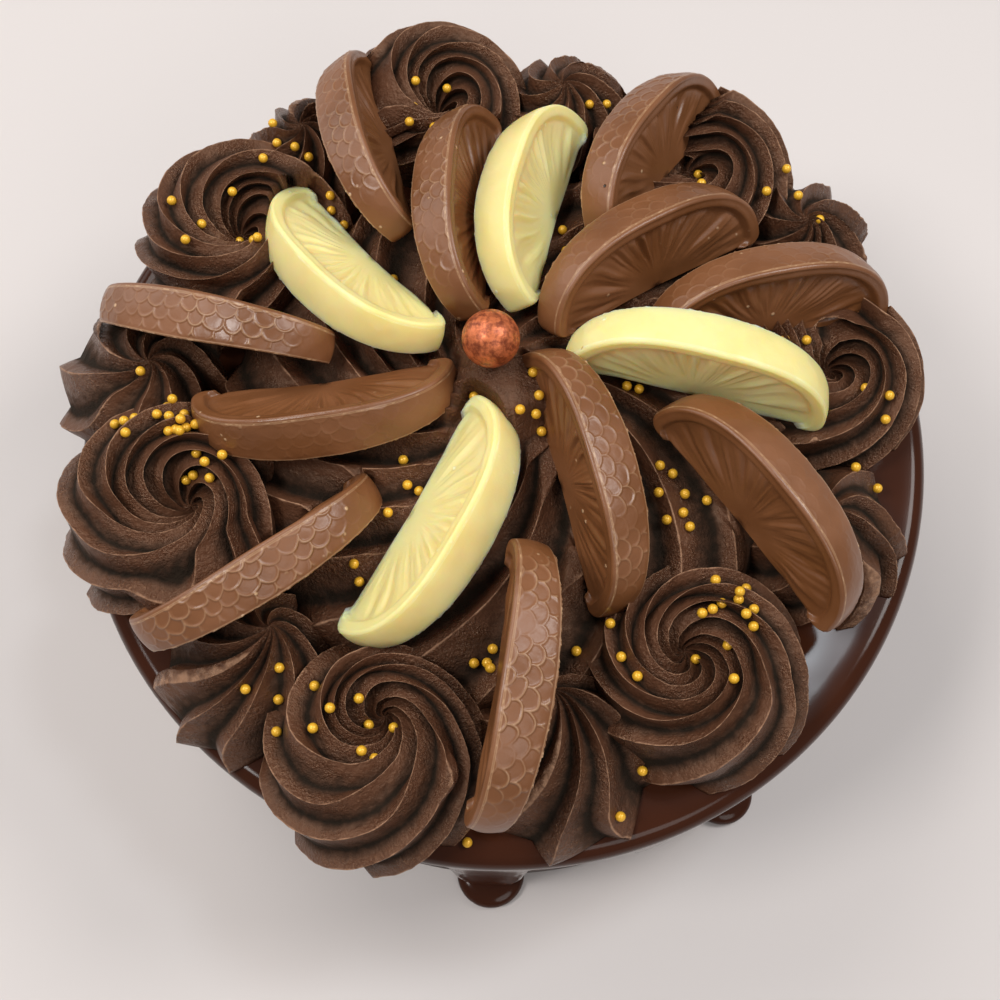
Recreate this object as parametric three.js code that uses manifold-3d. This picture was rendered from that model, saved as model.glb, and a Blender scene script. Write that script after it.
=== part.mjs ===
// Chocolate orange cake: a round glazed cake with a ring of piped swirls on top, a pinwheel of
// moulded chocolate segments round a bronze ball, and small gold sugar beads.
// Millimetres, +Z up. The origin is the middle of the underside.

import * as THREE from 'three';
import { mergeVertices } from 'three/addons/utils/BufferGeometryUtils.js';
import Module from 'manifold-3d';

const wasm = await Module();
wasm.setup();

// Driving dimensions
const gap = 0.3;
const glazeRadius = 108;
const glazeTop = 95;
const glazeThickness = 2.2;
const glazeRimRound = 4.5;
const glazeSkirt = 21;
const skirtWave = 2.2;
const skirtRipple = 1.4;
const drumGap = 0.7;
const drumEdge = 1.2;
const drumSides = 60;

const rosetteSlimness = 0.85;
const rosetteRidges = 8;
const rosetteRidgeDepth = 1.7;
const dropHeight = 19;
const dropRidges = 7;
const dropRidgeDepth = 1.9;
const moundRadius = 66;
const moundHeight = 33;
const moundRidges = 8;
const moundRidgeDepth = 1.3;

const segmentChord = 64;
const segmentRise = 21.3;
const segmentSquareness = 2.3;
const segmentEdge = 5.5;
const segmentRind = 12;
const segmentEndShare = 0.64;
const segmentLip = 3;
const segmentRecess = 1.4;
const segmentEndCut = 2;
const segmentArcSteps = 11;
const clearAbove = 30;

const ballRadius = 6.7;
const ballPlace = new THREE.Vector3(-3, 7, 134.7);

const beadRadius = 1.2;
const beadSunk = 0.22;
const beadSeed = 2024;

const poolHeight = 3.4;
const poolSides = 28;
const poolSunk = 3;
const floorGap = 1.2;

// Each drip: azimuth in degrees, half width, and how far it runs below the skirt
const drips = [
  [268, 7, 76],
  [290, 4.2, 12],
  [309, 6.4, 76],
  [330, 6.5, 40],
  [357, 7.5, 20],
  [26, 6.2, 33],
  [56, 7.6, 46],
  [86, 6.4, 18],
  [115, 7.4, 38],
  [146, 6, 24],
  [176, 7.8, 44],
  [208, 6.6, 30],
  [239, 7.2, 22],
];

// Round pools where the longest drips reach the foot: azimuth and radius
const pools = [
  [268, 10],
  [309, 9.4],
];

// Large rosettes: azimuth in degrees, distance from the axis, outer radius, and pull of the eye inwards
const rosettes = [
  [8, 81, 24.5, -1],
  [54, 83, 27, 0],
  [101, 92, 24, 4],
  [144, 83, 27, 0],
  [198, 84, 27.5, 5],
  [250, 87.5, 25.5, 8],
  [305, 78, 26, 5],
];

// Small star drops between them: azimuth, distance from the axis, foot radius, and pull of the tip
const drops = [
  [33, 91, 20, -1],
  [80, 90, 19, -2],
  [124, 91, 18, -3],
  [173, 92, 22, 5],
  [226, 87, 21, 10],
  [279, 84, 22, 13],
  [339, 82, 21, 0],
];

// Chocolate segments: chocolate, middle of the chord, heading of the outer end, its slope, and lean
const segments = [
  ['milk', -29.5, 71, 111.5, 101, -17, 34],
  ['milk', -5, 49, 115.5, 87, -12, 37],
  ['white', 12.5, 49.5, 115.5, 76, -14, 43],
  ['milk', 41, 64.5, 111, 57, -18, 35],
  ['milk', 37, 31, 115.5, 33, -11, 32],
  ['milk', 65, 20, 111, 15, -9, 30],
  ['white', 45.5, 2, 116.5, -11, -9, 15],
  ['milk', 56, -30, 114, -52, -7, 29],
  ['milk', 14.5, -22, 116.5, -74, -10, 26],
  ['milk', -0.5, -69, 118, -99, -9, 17],
  ['white', -21, -29.5, 116, -120, -8, 54],
  ['milk', -58, -38, 111.5, -147, -3, 30],
  ['milk', -43, 3, 115.5, -174, -6, 54],
  ['milk', -69.5, 21, 110.5, 162, -16, 19],
  ['white', -33, 37, 115, 129, -15, 60],
];

// Scatters of gold beads: middle, spread and how many
const beadScatters = [
  [-91, -7, 5, 4],
  [-80, -2, 4, 5],
  [-76, -9, 4, 7],
  [-71, -18, 5, 6],
  [-70, 46, 13, 7],
  [-57, 72, 8, 5],
  [-46, 55, 7, 5],
  [-30, 41, 12, 7],
  [-19, 83, 12, 7],
  [25, 87, 3, 2],
  [14, 39, 10, 7],
  [48, 65, 7, 3],
  [72, 55, 11, 4],
  [73, 15, 5, 3],
  [90, 1, 6, 3],
  [89, -18, 6, 2],
  [40, -24, 9, 8],
  [52, -51, 7, 9],
  [48, -61, 9, 4],
  [31, 1, 3, 2],
  [1, 4, 9, 6],
  [6, -8, 5, 4],
  [-25, -22, 8, 5],
  [-36, -41, 5, 4],
  [-55, -71, 11, 4],
  [-34, -77, 11, 8],
  [-5, -63, 4, 4],
  [22, -64, 10, 4],
  [-9, -102, 1, 1],
  [25, -97, 1, 1],
  [31, -86, 1, 1],
  [-52, 7, 8, 3],
  [-21, 10, 8, 2],
  [-89, 8, 1, 1],
];

// Profiles run from the middle of the top to the foot. Each row gives its share of the radius and
// of the height, its share of the ridge depth, and how far the ridges have turned there in degrees.
const rosetteProfile = [
  [0, 0.6, 0, 90],
  [0.1, 0.61, 0.35, 70],
  [0.22, 0.74, 0.75, 35],
  [0.36, 0.91, 1, -15],
  [0.52, 1, 1, -75],
  [0.69, 0.95, 1, -117],
  [0.85, 0.75, 1, -157],
  [0.97, 0.4, 1, -191],
  [0.98, 0, 0.9, -212],
];
const dropProfile = [
  [0, 1, 0, 0],
  [0.16, 0.97, 0.4, -5],
  [0.38, 0.87, 0.8, -16],
  [0.6, 0.69, 1, -29],
  [0.8, 0.46, 1.15, -41],
  [0.95, 0.2, 1.3, -49],
  [1, 0, 1.4, -53],
];
const moundProfile = [
  [0, 1, 0, 0],
  [0.1, 0.98, 0.3, 0],
  [0.18, 0.82, 0.8, -8],
  [0.32, 0.67, 1, -24],
  [0.55, 0.58, 1, -45],
  [0.78, 0.5, 1, -62],
  [0.93, 0.34, 1, -74],
  [1, 0, 0.9, -80],
];

const milkChocolate = new THREE.MeshStandardMaterial({ color: 0x7d5037, roughness: 0.45, metalness: 0 });
const whiteChocolate = new THREE.MeshStandardMaterial({ color: 0xebe1a5, roughness: 0.4, metalness: 0 });
const buttercream = new THREE.MeshStandardMaterial({ color: 0x3c261c, roughness: 0.55, metalness: 0 });
const ganache = new THREE.MeshStandardMaterial({ color: 0x462a23, roughness: 0.2, metalness: 0 });
const cakeSide = new THREE.MeshStandardMaterial({ color: 0x4a2f24, roughness: 0.6, metalness: 0 });
const bronze = new THREE.MeshStandardMaterial({ color: 0xa55032, roughness: 0.4, metalness: 0.6 });

const radians = THREE.MathUtils.degToRad;

// A closed three.js geometry as a solid that can be joined and cut
function toSolid(geometry) {
  const bare = geometry.clone();
  bare.deleteAttribute('normal');
  bare.deleteAttribute('uv');
  const merged = mergeVertices(bare, 1e-4);
  const mesh = new wasm.Mesh({
    numProp: 3,
    vertProperties: new Float32Array(merged.attributes.position.array),
    triVerts: new Uint32Array(merged.index.array),
  });
  return new wasm.Manifold(mesh);
}

// The largest piece of a solid, so that no loose scrap stays after a cut
function mainPiece(solid) {
  const pieces = solid.decompose();
  pieces.sort((a, b) => b.volume() - a.volume());
  return pieces[0];
}

// A solid back as a geometry, with edges shorter than the tolerance closed up
function toGeometry(solid) {
  const shortEdge = 0.08;
  const mesh = mainPiece(solid.simplify(shortEdge)).getMesh();
  const geometry = new THREE.BufferGeometry();
  geometry.setAttribute('position', new THREE.BufferAttribute(new Float32Array(mesh.vertProperties), 3));
  geometry.setIndex(new THREE.BufferAttribute(new Uint32Array(mesh.triVerts), 1));
  geometry.computeVertexNormals();
  return geometry;
}

function geometryFrom(points, triangles) {
  const geometry = new THREE.BufferGeometry();
  geometry.setAttribute('position', new THREE.Float32BufferAttribute(points.flat(), 3));
  geometry.setIndex(triangles.flat());
  return geometry;
}

function poseMatrix(place, turn) {
  const quaternion = new THREE.Quaternion().setFromEuler(turn);
  return new THREE.Matrix4().compose(place, quaternion, new THREE.Vector3(1, 1, 1));
}

// A surface of closed rows between a point at the top and a point at the bottom
function closedRows(top, rows, bottom) {
  const columns = rows[0].length;
  const points = [top, ...rows.flat(), bottom];
  const last = points.length - 1;
  const triangles = [];
  for (let column = 0; column < columns; column += 1) {
    const next = (column + 1) % columns;
    triangles.push([0, 1 + column, 1 + next]);
    for (let row = 0; row + 1 < rows.length; row += 1) {
      const upper = 1 + row * columns;
      const lower = upper + columns;
      triangles.push([upper + column, lower + column, lower + next]);
      triangles.push([upper + column, lower + next, upper + next]);
    }
    const foot = 1 + (rows.length - 1) * columns;
    triangles.push([foot + column, last, foot + next]);
  }
  return geometryFrom(points, triangles);
}

// Piped form: the profile goes round the middle with ridges and grooves by turns, which twist as
// they run outwards. pull moves the middle towards -X, and grow swells the form to make a cutter.
function pipedForm(profile, radius, height, ridges, ridgeDepth, pull = 0, grow = 0) {
  const columns = ridges * 2;
  const rows = [];
  for (let row = 1; row < profile.length; row += 1) {
    const [radiusShare, heightShare, ridgeShare, twist] = profile[row];
    const before = profile[row - 1];
    const after = profile[Math.min(row + 1, profile.length - 1)];
    const alongR = (after[0] - before[0]) * radius;
    const alongZ = (after[1] - before[1]) * height;
    const length = Math.hypot(alongR, alongZ);
    const isFoot = row === profile.length - 1;
    const ring = [];
    for (let column = 0; column < columns; column += 1) {
      const ridge = column % 2 === 0 ? ridgeDepth : -ridgeDepth;
      const lift = ridge * ridgeShare + grow;
      const angle = (column / columns) * Math.PI * 2 + radians(twist);
      const across = radiusShare * radius - (alongZ / length) * lift;
      const up = isFoot ? -grow : heightShare * height + (alongR / length) * lift;
      ring.push([across * Math.cos(angle) - pull * (1 - radiusShare), across * Math.sin(angle), up]);
    }
    rows.push(ring);
  }
  const top = [-pull, 0, profile[0][1] * height + grow];
  return closedRows(top, rows, [0, 0, -grow]);
}

// Moulded segment: the rind follows a squared arc over the chord, +Y is the flat back, and -Y is the
// face with a lip along the rind round a sunk panel. grow swells it into a plain cutter, and raise
// moves the cutter's face, so that it also takes away what would lie over the segment.
function segmentForm(grow = 0, raise = new THREE.Vector3()) {
  const halfChord = segmentChord / 2 + grow;
  const rise = segmentRise + grow;
  const recess = grow > 0 ? 0 : segmentRecess;
  const slopeWidth = 1.2;
  const firstAngle = 10;
  const squared = (value) => Math.sign(value) * Math.abs(value) ** (2 / segmentSquareness);
  const outline = [[halfChord - segmentEndCut, -grow]];
  for (let step = 0; step <= segmentArcSteps; step += 1) {
    const angle = radians(firstAngle + ((180 - 2 * firstAngle) * step) / segmentArcSteps);
    outline.push([halfChord * squared(Math.cos(angle)), rise * squared(Math.sin(angle))]);
  }
  outline.push([segmentEndCut - halfChord, -grow]);
  const face = (x, y, z) => [x + raise.x, y + raise.y, z + raise.z];
  const points = [
    [0, segmentEdge / 2 + grow, -grow],
    face(0, recess - segmentEdge / 2 - grow, -grow),
  ];
  const chain = outline.map(([x, z]) => {
    const first = points.length;
    const reach = Math.hypot(x, z);
    const rindShare = segmentEndShare + ((1 - segmentEndShare) * Math.max(z, 0)) / reach;
    const halfWidth = (share) => (segmentEdge + (segmentRind * rindShare - segmentEdge) * share) / 2 + grow;
    const lip = 1 - segmentLip / reach;
    const panel = 1 - (segmentLip + slopeWidth) / reach;
    const lift = (share) => (z + grow) * share - grow;
    points.push([x, halfWidth(1), z]);
    points.push(face(x, -halfWidth(1), z));
    points.push(face(x * lip, -halfWidth(lip), lift(lip)));
    points.push(face(x * panel, recess - halfWidth(panel), lift(panel)));
    return [0, first, first + 1, first + 2, first + 3, 1];
  });
  const triangles = [];
  for (let step = 0; step + 1 < chain.length; step += 1) {
    const here = chain[step];
    const next = chain[step + 1];
    triangles.push([here[0], next[1], here[1]]);
    for (let band = 1; band < 4; band += 1) {
      triangles.push([here[band], next[band], next[band + 1]]);
      triangles.push([here[band], next[band + 1], here[band + 1]]);
    }
    triangles.push([here[4], next[4], here[5]]);
  }
  const start = chain[0];
  const end = chain[chain.length - 1];
  for (let corner = 1; corner < 5; corner += 1) {
    triangles.push([start[0], start[corner], start[corner + 1]]);
    triangles.push([end[0], end[corner + 1], end[corner]]);
  }
  return geometryFrom(points, triangles);
}

// How far a drip has run at a share of its half width: steep sides and a round end
function dripRun(share, halfWidth, length) {
  const flank = 0.74;
  const roundness = 1.2;
  const end = (at) => length - halfWidth * (1 - Math.sqrt(1 - (roundness * at) ** 2));
  return share < flank ? end(share) : (end(flank) * (1 - share)) / (1 - flank);
}

// Height of the glaze's lower edge at an azimuth: an uneven skirt, and drips below it
function glazeHem(azimuth) {
  let run = glazeSkirt;
  run += skirtWave * Math.sin(radians(azimuth * 5)) + skirtRipple * Math.sin(radians(azimuth * 9 + 40));
  for (const [centre, halfWidth, length] of drips) {
    const turn = Math.abs(((azimuth - centre + 540) % 360) - 180);
    const share = (radians(turn) * glazeRadius) / halfWidth;
    run += share < 1 ? dripRun(share, halfWidth, length) : 0;
  }
  return Math.max(glazeTop - run, floorGap);
}

// Glaze: a disc over the drum with a rounded rim and a skirt that ends in drips
function glazeForm() {
  const acrossDrip = [-1, -0.74, -0.42, 0, 0.42, 0.74, 1];
  const azimuths = [];
  const ordered = drips.slice().sort((a, b) => a[0] - b[0]);
  const degreesOf = (arc) => (arc / glazeRadius) * (180 / Math.PI);
  ordered.forEach(([centre, halfWidth], index) => {
    acrossDrip.forEach((share) => azimuths.push(centre + degreesOf(share * halfWidth)));
    const [nextCentre, nextHalf] = ordered[(index + 1) % ordered.length];
    const wrapped = nextCentre <= centre ? nextCentre + 360 : nextCentre;
    const open = wrapped - centre - degreesOf(halfWidth + nextHalf);
    const openStart = centre + degreesOf(halfWidth);
    azimuths.push(openStart + open / 3, openStart + (open * 2) / 3);
  });
  const inside = glazeRadius - glazeThickness;
  const under = glazeTop - glazeThickness;
  const diagonal = glazeRimRound * (1 - Math.SQRT1_2);
  const rowAt = (place) => azimuths.map((azimuth) => {
    const [radius, height] = place(azimuth);
    return [radius * Math.cos(radians(azimuth)), radius * Math.sin(radians(azimuth)), height];
  });
  const rows = [
    rowAt(() => [glazeRadius - glazeRimRound, glazeTop]),
    rowAt(() => [glazeRadius - diagonal, glazeTop - diagonal]),
    rowAt(() => [glazeRadius, glazeTop - glazeRimRound]),
    rowAt((azimuth) => [glazeRadius, glazeHem(azimuth) + 1]),
    rowAt((azimuth) => [inside, glazeHem(azimuth)]),
    rowAt(() => [inside, under]),
  ];
  return closedRows([0, 0, glazeTop], rows, [0, 0, under]);
}

// Pool at the foot of a drip: a flat round disc with a sloping edge
function poolForm(radius) {
  const top = floorGap + poolHeight;
  const profile = [
    new THREE.Vector2(0, floorGap),
    new THREE.Vector2(radius, floorGap),
    new THREE.Vector2(radius * 0.97, floorGap + poolHeight * 0.5),
    new THREE.Vector2(radius * 0.8, top),
    new THREE.Vector2(0, top),
  ];
  return new THREE.LatheGeometry(profile, poolSides).rotateX(Math.PI / 2);
}

function drumForm() {
  const radius = glazeRadius - glazeThickness - drumGap;
  const height = glazeTop - glazeThickness - gap;
  const profile = [
    new THREE.Vector2(0, 0),
    new THREE.Vector2(radius - drumEdge, 0),
    new THREE.Vector2(radius, drumEdge),
    new THREE.Vector2(radius, height - drumEdge),
    new THREE.Vector2(radius - drumEdge, height),
    new THREE.Vector2(0, height),
  ];
  return new THREE.LatheGeometry(profile, drumSides).rotateX(Math.PI / 2);
}

// Same draws for the same seed
function makeDraw(seed) {
  let state = seed;
  return () => {
    state = (state * 16807) % 2147483647;
    return state / 2147483647;
  };
}

// Places of the beads seen from above: each scatter is a loose sunflower pattern
function beadPlaces() {
  const draw = makeDraw(beadSeed);
  const goldenTurn = 2.4;
  const places = [];
  for (const [x, y, spread, count] of beadScatters) {
    for (let bead = 0; bead < count; bead += 1) {
      const angle = goldenTurn * bead + draw() * 1.2;
      const reach = spread * Math.sqrt((bead + 0.5) / count) * (0.75 + 0.4 * draw());
      places.push([x + reach * Math.cos(angle), y + reach * Math.sin(angle)]);
    }
  }
  return places;
}

// The pieces, each with its local form, its pose and its material
const pieces = [];
const onTop = glazeTop + gap;
const upright = new THREE.Euler(0, 0, 0);

function addPiece(name, form, pose, material, cutter = null) {
  const piece = { name, pose, material };
  piece.solid = toSolid(form.clone().applyMatrix4(pose));
  piece.cutter = cutter ? toSolid(cutter.clone().applyMatrix4(pose)) : null;
  pieces.push(piece);
  return piece;
}

function ringPose(azimuth, ring) {
  const angle = radians(azimuth);
  const place = new THREE.Vector3(ring * Math.cos(angle), ring * Math.sin(angle), onTop);
  return poseMatrix(place, new THREE.Euler(0, 0, angle));
}

const origin = poseMatrix(new THREE.Vector3(0, 0, 0), upright);
addPiece('cake_drum', drumForm(), origin, cakeSide);
const glazePiece = addPiece('ganache_glaze', glazeForm(), origin, ganache);
const insideRadius = glazeRadius - glazeThickness;
const behindGlaze = toSolid(
  new THREE.CylinderGeometry(insideRadius, insideRadius, glazeTop, drumSides * 2).rotateX(Math.PI / 2));
for (const [azimuth, radius] of pools) {
  const place = new THREE.Vector3(glazeRadius - poolSunk, 0, 0);
  place.applyAxisAngle(new THREE.Vector3(0, 0, 1), radians(azimuth));
  const disc = toSolid(poolForm(radius).applyMatrix4(poseMatrix(place, upright)));
  glazePiece.solid = glazePiece.solid.add(disc.subtract(behindGlaze));
}

const segmentCount = { milk: 0, white: 0 };
const segmentPieces = segments.map(([chocolate, x, y, z, heading, slope, lean]) => {
  segmentCount[chocolate] += 1;
  const turn = new THREE.Euler(-radians(lean), -radians(slope), radians(heading), 'ZYX');
  const pose = poseMatrix(new THREE.Vector3(x, y, z), turn);
  const material = chocolate === 'milk' ? milkChocolate : whiteChocolate;
  const name = `segment_${chocolate}_${segmentCount[chocolate]}`;
  const piece = addPiece(name, segmentForm(), pose, material, segmentForm(gap));
  const unturned = new THREE.Quaternion().setFromEuler(turn).invert();
  const straightUp = new THREE.Vector3(0, 0, clearAbove).applyQuaternion(unturned);
  piece.cutter = piece.cutter.add(toSolid(segmentForm(gap, straightUp).applyMatrix4(pose)));
  return piece;
});

const ballForm = new THREE.IcosahedronGeometry(ballRadius, 2);
const ballCutter = new THREE.IcosahedronGeometry(ballRadius + gap, 2);
const ballPiece = addPiece('bronze_ball', ballForm, poseMatrix(ballPlace, upright), bronze, ballCutter);

const moundPose = poseMatrix(new THREE.Vector3(0, 0, onTop), upright);
const moundForm = (grow) => pipedForm(
  moundProfile, moundRadius, moundHeight, moundRidges, moundRidgeDepth, 0, grow);
const swirlPieces = [addPiece('centre_mound', moundForm(0), moundPose, buttercream, moundForm(gap))];
rosettes.forEach(([azimuth, ring, radius, pull], index) => {
  const form = (grow) => pipedForm(
    rosetteProfile, radius, radius * rosetteSlimness, rosetteRidges, rosetteRidgeDepth, pull, grow);
  swirlPieces.push(
    addPiece(`rosette_${index + 1}`, form(0), ringPose(azimuth, ring), buttercream, form(gap)));
});
drops.forEach(([azimuth, ring, radius, pull], index) => {
  const form = (grow) => pipedForm(
    dropProfile, radius, dropHeight, dropRidges, dropRidgeDepth, pull, grow);
  swirlPieces.push(
    addPiece(`star_drop_${index + 1}`, form(0), ringPose(azimuth, ring), buttercream, form(gap)));
});
// The piping is pressed round the segments, the ball and the swirls that were piped before it
const pressedInto = [...segmentPieces, ballPiece];
for (const piece of swirlPieces) {
  for (const other of pressedInto) {
    piece.solid = piece.solid.subtract(other.cutter);
  }
  piece.solid = mainPiece(piece.solid);
  pressedInto.push(piece);
}

// Beads: each falls on the first piece below it, and is stuck there if it is clear of the others
const beadBearers = new Set([...swirlPieces, glazePiece]);
const ray = new THREE.Raycaster();
const targets = pieces.map((piece) => {
  const target = new THREE.Mesh(toGeometry(piece.solid));
  target.userData.piece = piece;
  return target;
});
for (const [x, y] of beadPlaces()) {
  ray.set(new THREE.Vector3(x, y, glazeTop * 2), new THREE.Vector3(0, 0, -1));
  const [hit] = ray.intersectObjects(targets);
  if (!hit || !beadBearers.has(hit.object.userData.piece)) {
    continue;
  }
  const bearer = hit.object.userData.piece;
  const middle = hit.point.clone().addScaledVector(hit.face.normal, beadRadius * (1 - beadSunk));
  const clearance = toSolid(new THREE.IcosahedronGeometry(beadRadius + gap, 0).translate(...middle));
  const isClear = pieces.every((other) => other === bearer || clearance.intersect(other.solid).isEmpty());
  if (isClear) {
    const bead = toSolid(new THREE.IcosahedronGeometry(beadRadius, 0).translate(...middle));
    bearer.solid = bearer.solid.add(bead);
  }
}

const cake = new THREE.Group();
for (const { name, pose, material, solid } of pieces) {
  const geometry = toGeometry(solid).applyMatrix4(pose.clone().invert());
  const mesh = new THREE.Mesh(geometry, material);
  mesh.name = name;
  pose.decompose(mesh.position, mesh.quaternion, mesh.scale);
  cake.add(mesh);
}

export default cake;
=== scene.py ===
# Chocolate orange cake: the looks, over the fixed CAD frame.
# Shapes are worked out in millimetres and become meshes in metres, with +Z up.
import math
import bpy
import numpy as np
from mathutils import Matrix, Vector
from mathutils.bvhtree import BVHTree


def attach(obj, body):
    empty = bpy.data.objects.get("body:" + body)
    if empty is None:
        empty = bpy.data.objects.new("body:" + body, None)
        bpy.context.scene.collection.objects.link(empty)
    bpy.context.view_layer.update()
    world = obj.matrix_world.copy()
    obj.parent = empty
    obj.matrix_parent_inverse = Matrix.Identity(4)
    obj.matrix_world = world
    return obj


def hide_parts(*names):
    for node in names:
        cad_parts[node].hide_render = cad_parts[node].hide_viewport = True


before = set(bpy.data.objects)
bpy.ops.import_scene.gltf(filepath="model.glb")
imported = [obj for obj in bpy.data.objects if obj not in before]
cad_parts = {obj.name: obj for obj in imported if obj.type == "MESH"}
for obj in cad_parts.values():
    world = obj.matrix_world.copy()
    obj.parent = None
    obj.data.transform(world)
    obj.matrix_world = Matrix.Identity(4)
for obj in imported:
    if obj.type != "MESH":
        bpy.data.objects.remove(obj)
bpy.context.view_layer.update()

mm = 0.001
fullTurn = 2 * math.pi
noiseLines = 64  # lines of the noise lattice before it repeats
seedStep = 10  # from one piece's first seed to the next


# Helpers for shapes

def smoothStep(x):
    # 0 below 0, 1 above 1, and a soft S between
    x = np.clip(x, 0, 1)
    return x * x * (3 - 2 * x)


def softNoise(u, v, seed, period=noiseLines):
    # Random values from -1 to 1 on a whole-number lattice, blended by soft steps; u repeats
    table = np.random.default_rng(seed).uniform(-1, 1, (period, noiseLines))
    column = np.floor(u).astype(int)
    row = np.floor(v).astype(int)
    across = smoothStep(u - column)
    down = smoothStep(v - row)
    left, right = column % period, (column + 1) % period
    near, far = row % noiseLines, (row + 1) % noiseLines
    nearBlend = table[left, near] * (1 - across) + table[right, near] * across
    farBlend = table[left, far] * (1 - across) + table[right, far] * across
    return nearBlend * (1 - down) + farBlend * down


def gridQuads(rows, columns, wrap=True):
    # Quads between neighbouring rows of a grid; wrap joins the last column to the first
    down = np.arange(rows - 1)[:, None] * columns
    here = np.arange(columns if wrap else columns - 1)[None, :]
    beside = (here + 1) % columns
    corners = [down + here, down + columns + here, down + columns + beside, down + beside]
    return np.stack(corners, axis=-1).reshape(-1, 4)


def closedRows(grid, firstPole, lastPole):
    # A grid of closed rows with a fan of triangles to a pole at each end
    rows, columns = grid.shape[:2]
    points = np.vstack([grid.reshape(-1, 3), [firstPole], [lastPole]])
    here = np.arange(columns)
    beside = (here + 1) % columns
    first = np.full(columns, rows * columns)
    foot = (rows - 1) * columns
    return points, [
        gridQuads(rows, columns),
        np.stack([first, here, beside], axis=-1),
        np.stack([first + 1, foot + beside, foot + here], axis=-1),
    ]


def outward(points, faceSets):
    # The signed volume of a closed surface is positive when its faces look outward
    volume = 0.0
    for faces in faceSets:
        for k in range(1, faces.shape[1] - 1):
            a, b, c = points[faces[:, 0]], points[faces[:, k]], points[faces[:, k + 1]]
            volume += np.einsum("ij,ij->", a, np.cross(b, c))
    return faceSets if volume > 0 else [faces[:, ::-1] for faces in faceSets]


def joinShapes(shapes):
    # Several closed shapes as one set of points and faces
    allPoints, allFaces, count = [], [], 0
    for points, faceSets in shapes:
        allPoints.append(points)
        allFaces += [faces + count for faces in faceSets]
        count += len(points)
    return np.vstack(allPoints), allFaces


def turnMatrix(axis, degrees):
    # A turn about one axis
    c, s = math.cos(math.radians(degrees)), math.sin(math.radians(degrees))
    if axis == "x":
        return np.array([[1, 0, 0], [0, c, -s], [0, s, c]])
    if axis == "y":
        return np.array([[c, 0, s], [0, 1, 0], [-s, 0, c]])
    return np.array([[c, -s, 0], [s, c, 0], [0, 0, 1]])


pieces = {}


def addPiece(name, points, faceSets, material, nodes, mark=None):
    # A smooth mesh that rides on the cake; mark is a value for each point that the material reads
    mesh = bpy.data.meshes.new(name)
    faces = [face for faceSet in outward(points, faceSets) for face in faceSet.tolist()]
    mesh.from_pydata((points * mm).tolist(), [], faces)
    mesh.polygons.foreach_set("use_smooth", np.ones(len(faces), dtype=bool))
    if mark is not None:
        mesh.attributes.new("mark", "FLOAT", "POINT").data.foreach_set("value", mark.ravel())
    mesh.materials.append(material)
    piece = bpy.data.objects.new(name, mesh)
    bpy.context.scene.collection.objects.link(piece)
    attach(piece, "root")
    if nodes:
        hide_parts(*nodes)
    pieces[name] = piece
    return piece


# Helpers for materials

def srgb(red, green, blue):
    # Linear colour of an 8-bit screen colour
    share = np.array([red, green, blue]) / 255
    linear = np.where(share <= 0.04045, share / 12.92, ((share + 0.055) / 1.055) ** 2.4)
    return (*linear.tolist(), 1.0)


def newGroup(name, inputs, outputs):
    group = bpy.data.node_groups.new(name, "ShaderNodeTree")
    for socketName, socketType in inputs:
        group.interface.new_socket(name=socketName, in_out="INPUT", socket_type=socketType)
    for socketName, socketType in outputs:
        group.interface.new_socket(name=socketName, in_out="OUTPUT", socket_type=socketType)
    return group, group.nodes.new("NodeGroupInput"), group.nodes.new("NodeGroupOutput")


def addNoise(tree, vector, scale, detail=2.0, roughness=0.5):
    node = tree.nodes.new("ShaderNodeTexNoise")
    node.inputs["Scale"].default_value = scale
    node.inputs["Detail"].default_value = detail
    node.inputs["Roughness"].default_value = roughness
    tree.links.new(vector, node.inputs["Vector"])
    return node.outputs["Fac"]


def addCells(tree, vector, scale):
    # Distance to the nearest of points that are scattered at random
    node = tree.nodes.new("ShaderNodeTexVoronoi")
    node.inputs["Scale"].default_value = scale
    tree.links.new(vector, node.inputs["Vector"])
    return node.outputs["Distance"]


def addRange(tree, value, fromMin, fromMax, toMin, toMax):
    # A soft step from toMin to toMax while the value goes from fromMin to fromMax
    node = tree.nodes.new("ShaderNodeMapRange")
    node.interpolation_type = "SMOOTHSTEP"
    socketNames = ("From Min", "From Max", "To Min", "To Max")
    for socketName, number in zip(socketNames, (fromMin, fromMax, toMin, toMax)):
        node.inputs[socketName].default_value = number
    tree.links.new(value, node.inputs["Value"])
    return node.outputs["Result"]


def addMix(tree, factor, first, second):
    # first and second are colours or sockets
    node = tree.nodes.new("ShaderNodeMix")
    node.data_type = "RGBA"
    tree.links.new(factor, node.inputs["Factor"])
    for socket, value in ((node.inputs[6], first), (node.inputs[7], second)):
        if isinstance(value, tuple):
            socket.default_value = value
        else:
            tree.links.new(value, socket)
    return node.outputs[2]


def addMath(tree, operation, first, second):
    # first and second are numbers or sockets
    node = tree.nodes.new("ShaderNodeMath")
    node.operation = operation
    for socket, value in zip(node.inputs, (first, second)):
        if isinstance(value, (int, float)):
            socket.default_value = value
        else:
            tree.links.new(value, socket)
    return node.outputs[0]


def addBump(tree, height, distance):
    node = tree.nodes.new("ShaderNodeBump")
    node.inputs["Distance"].default_value = distance
    tree.links.new(height, node.inputs["Height"])
    return node.outputs["Normal"]


def objectPlace(tree):
    return tree.nodes.new("ShaderNodeTexCoord").outputs["Object"]


def newMaterial(name, **values):
    # Values are for the shader's sockets, with underscores for spaces
    material = bpy.data.materials.new(name)
    material.use_nodes = True
    shader = material.node_tree.nodes["Principled BSDF"]
    for socketName, value in values.items():
        shader.inputs[socketName.replace("_", " ")].default_value = value
    return material, material.node_tree, shader


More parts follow.
